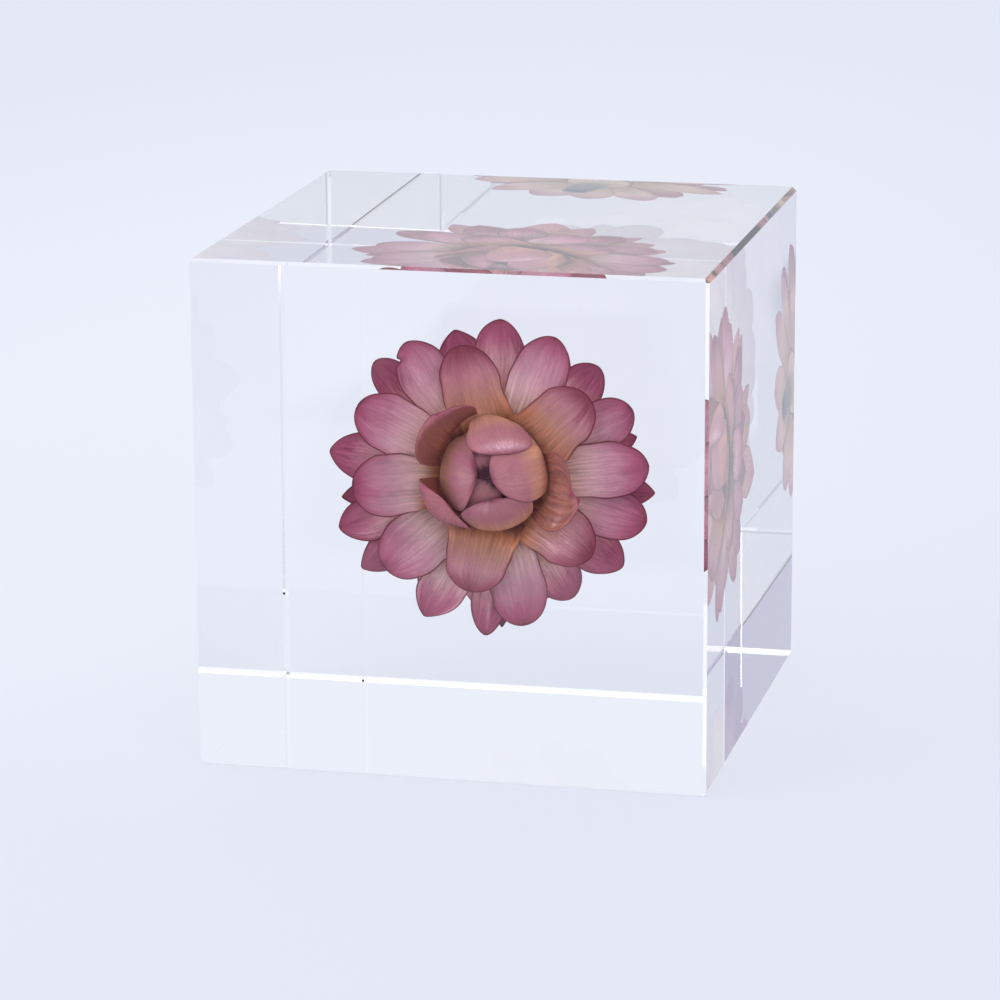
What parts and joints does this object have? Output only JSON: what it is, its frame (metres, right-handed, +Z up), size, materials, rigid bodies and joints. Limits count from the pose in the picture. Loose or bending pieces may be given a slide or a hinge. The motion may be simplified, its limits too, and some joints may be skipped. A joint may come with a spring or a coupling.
{
  "type": "strawflower in resin block",
  "caption": "Clear cast resin cube with chamfered edges, holding a dried pink strawflower head that faces its front, for display on a table or shelf.",
  "frame": {"origin": "centre of the block's base", "axes": "+Z up, -Y out of the front face that the flower looks through, +X to the right seen from the front"},
  "size_m": [0.04, 0.04, 0.04],
  "materials": {
    "resin": "clear cast resin, polished, with faint polish lines on its sides",
    "outer_bract": "dry papery bract, magenta with darker flecks and a cream root",
    "middle_bract": "dry papery bract, mauve with fine lengthwise veins and a dark rim",
    "inner_bract": "dry papery bract, brown-mauve with an orange root",
    "cup_bract": "dry papery bract, brown inside with a pink rim",
    "bud_bract": "dry papery bract, satin pink with a tan border",
    "back_bract": "dry papery scale, straw-coloured",
    "receptacle": "dry grey-blue stub of the stem, cut short and leaning, with a pale edge"
  },
  "bodies": {
    "root": {"resin_front": "resin", "resin_back": "resin", "outer_bract_1": "outer_bract", "outer_bract_2": "outer_bract", "outer_bract_3": "outer_bract", "outer_bract_4": "outer_bract", "outer_bract_5": "outer_bract", "outer_bract_6": "outer_bract", "outer_bract_7": "outer_bract", "outer_bract_8": "outer_bract", "outer_bract_9": "outer_bract", "outer_bract_10": "outer_bract", "outer_bract_11": "outer_bract", "outer_bract_12": "outer_bract", "outer_bract_13": "outer_bract", "outer_bract_14": "outer_bract", "outer_bract_15": "outer_bract", "middle_bract_1": "middle_bract", "middle_bract_2": "middle_bract", "middle_bract_3": "middle_bract", "middle_bract_4": "middle_bract", "middle_bract_5": "middle_bract", "middle_bract_6": "middle_bract", "middle_bract_7": "middle_bract", "middle_bract_8": "middle_bract", "middle_bract_9": "middle_bract", "inner_bract_1": "inner_bract", "inner_bract_2": "inner_bract", "inner_bract_3": "inner_bract", "inner_bract_4": "inner_bract", "cup_bract_1": "cup_bract", "cup_bract_2": "cup_bract", "cup_bract_3": "cup_bract", "bud_bract_1": "bud_bract", "bud_bract_2": "bud_bract", "bud_bract_3": "bud_bract", "bud_bract_4": "bud_bract", "bud_bract_5": "bud_bract", "bud_bract_6": "bud_bract", "back_bract_1": "back_bract", "back_bract_2": "back_bract", "back_bract_3": "back_bract", "back_bract_4": "back_bract", "back_bract_5": "back_bract", "back_bract_6": "back_bract", "back_bract_7": "back_bract", "back_bract_8": "back_bract", "back_bract_9": "back_bract", "back_bract_10": "back_bract", "back_bract_11": "back_bract", "back_bract_12": "back_bract", "receptacle": "receptacle"}
  },
  "joints": []
}
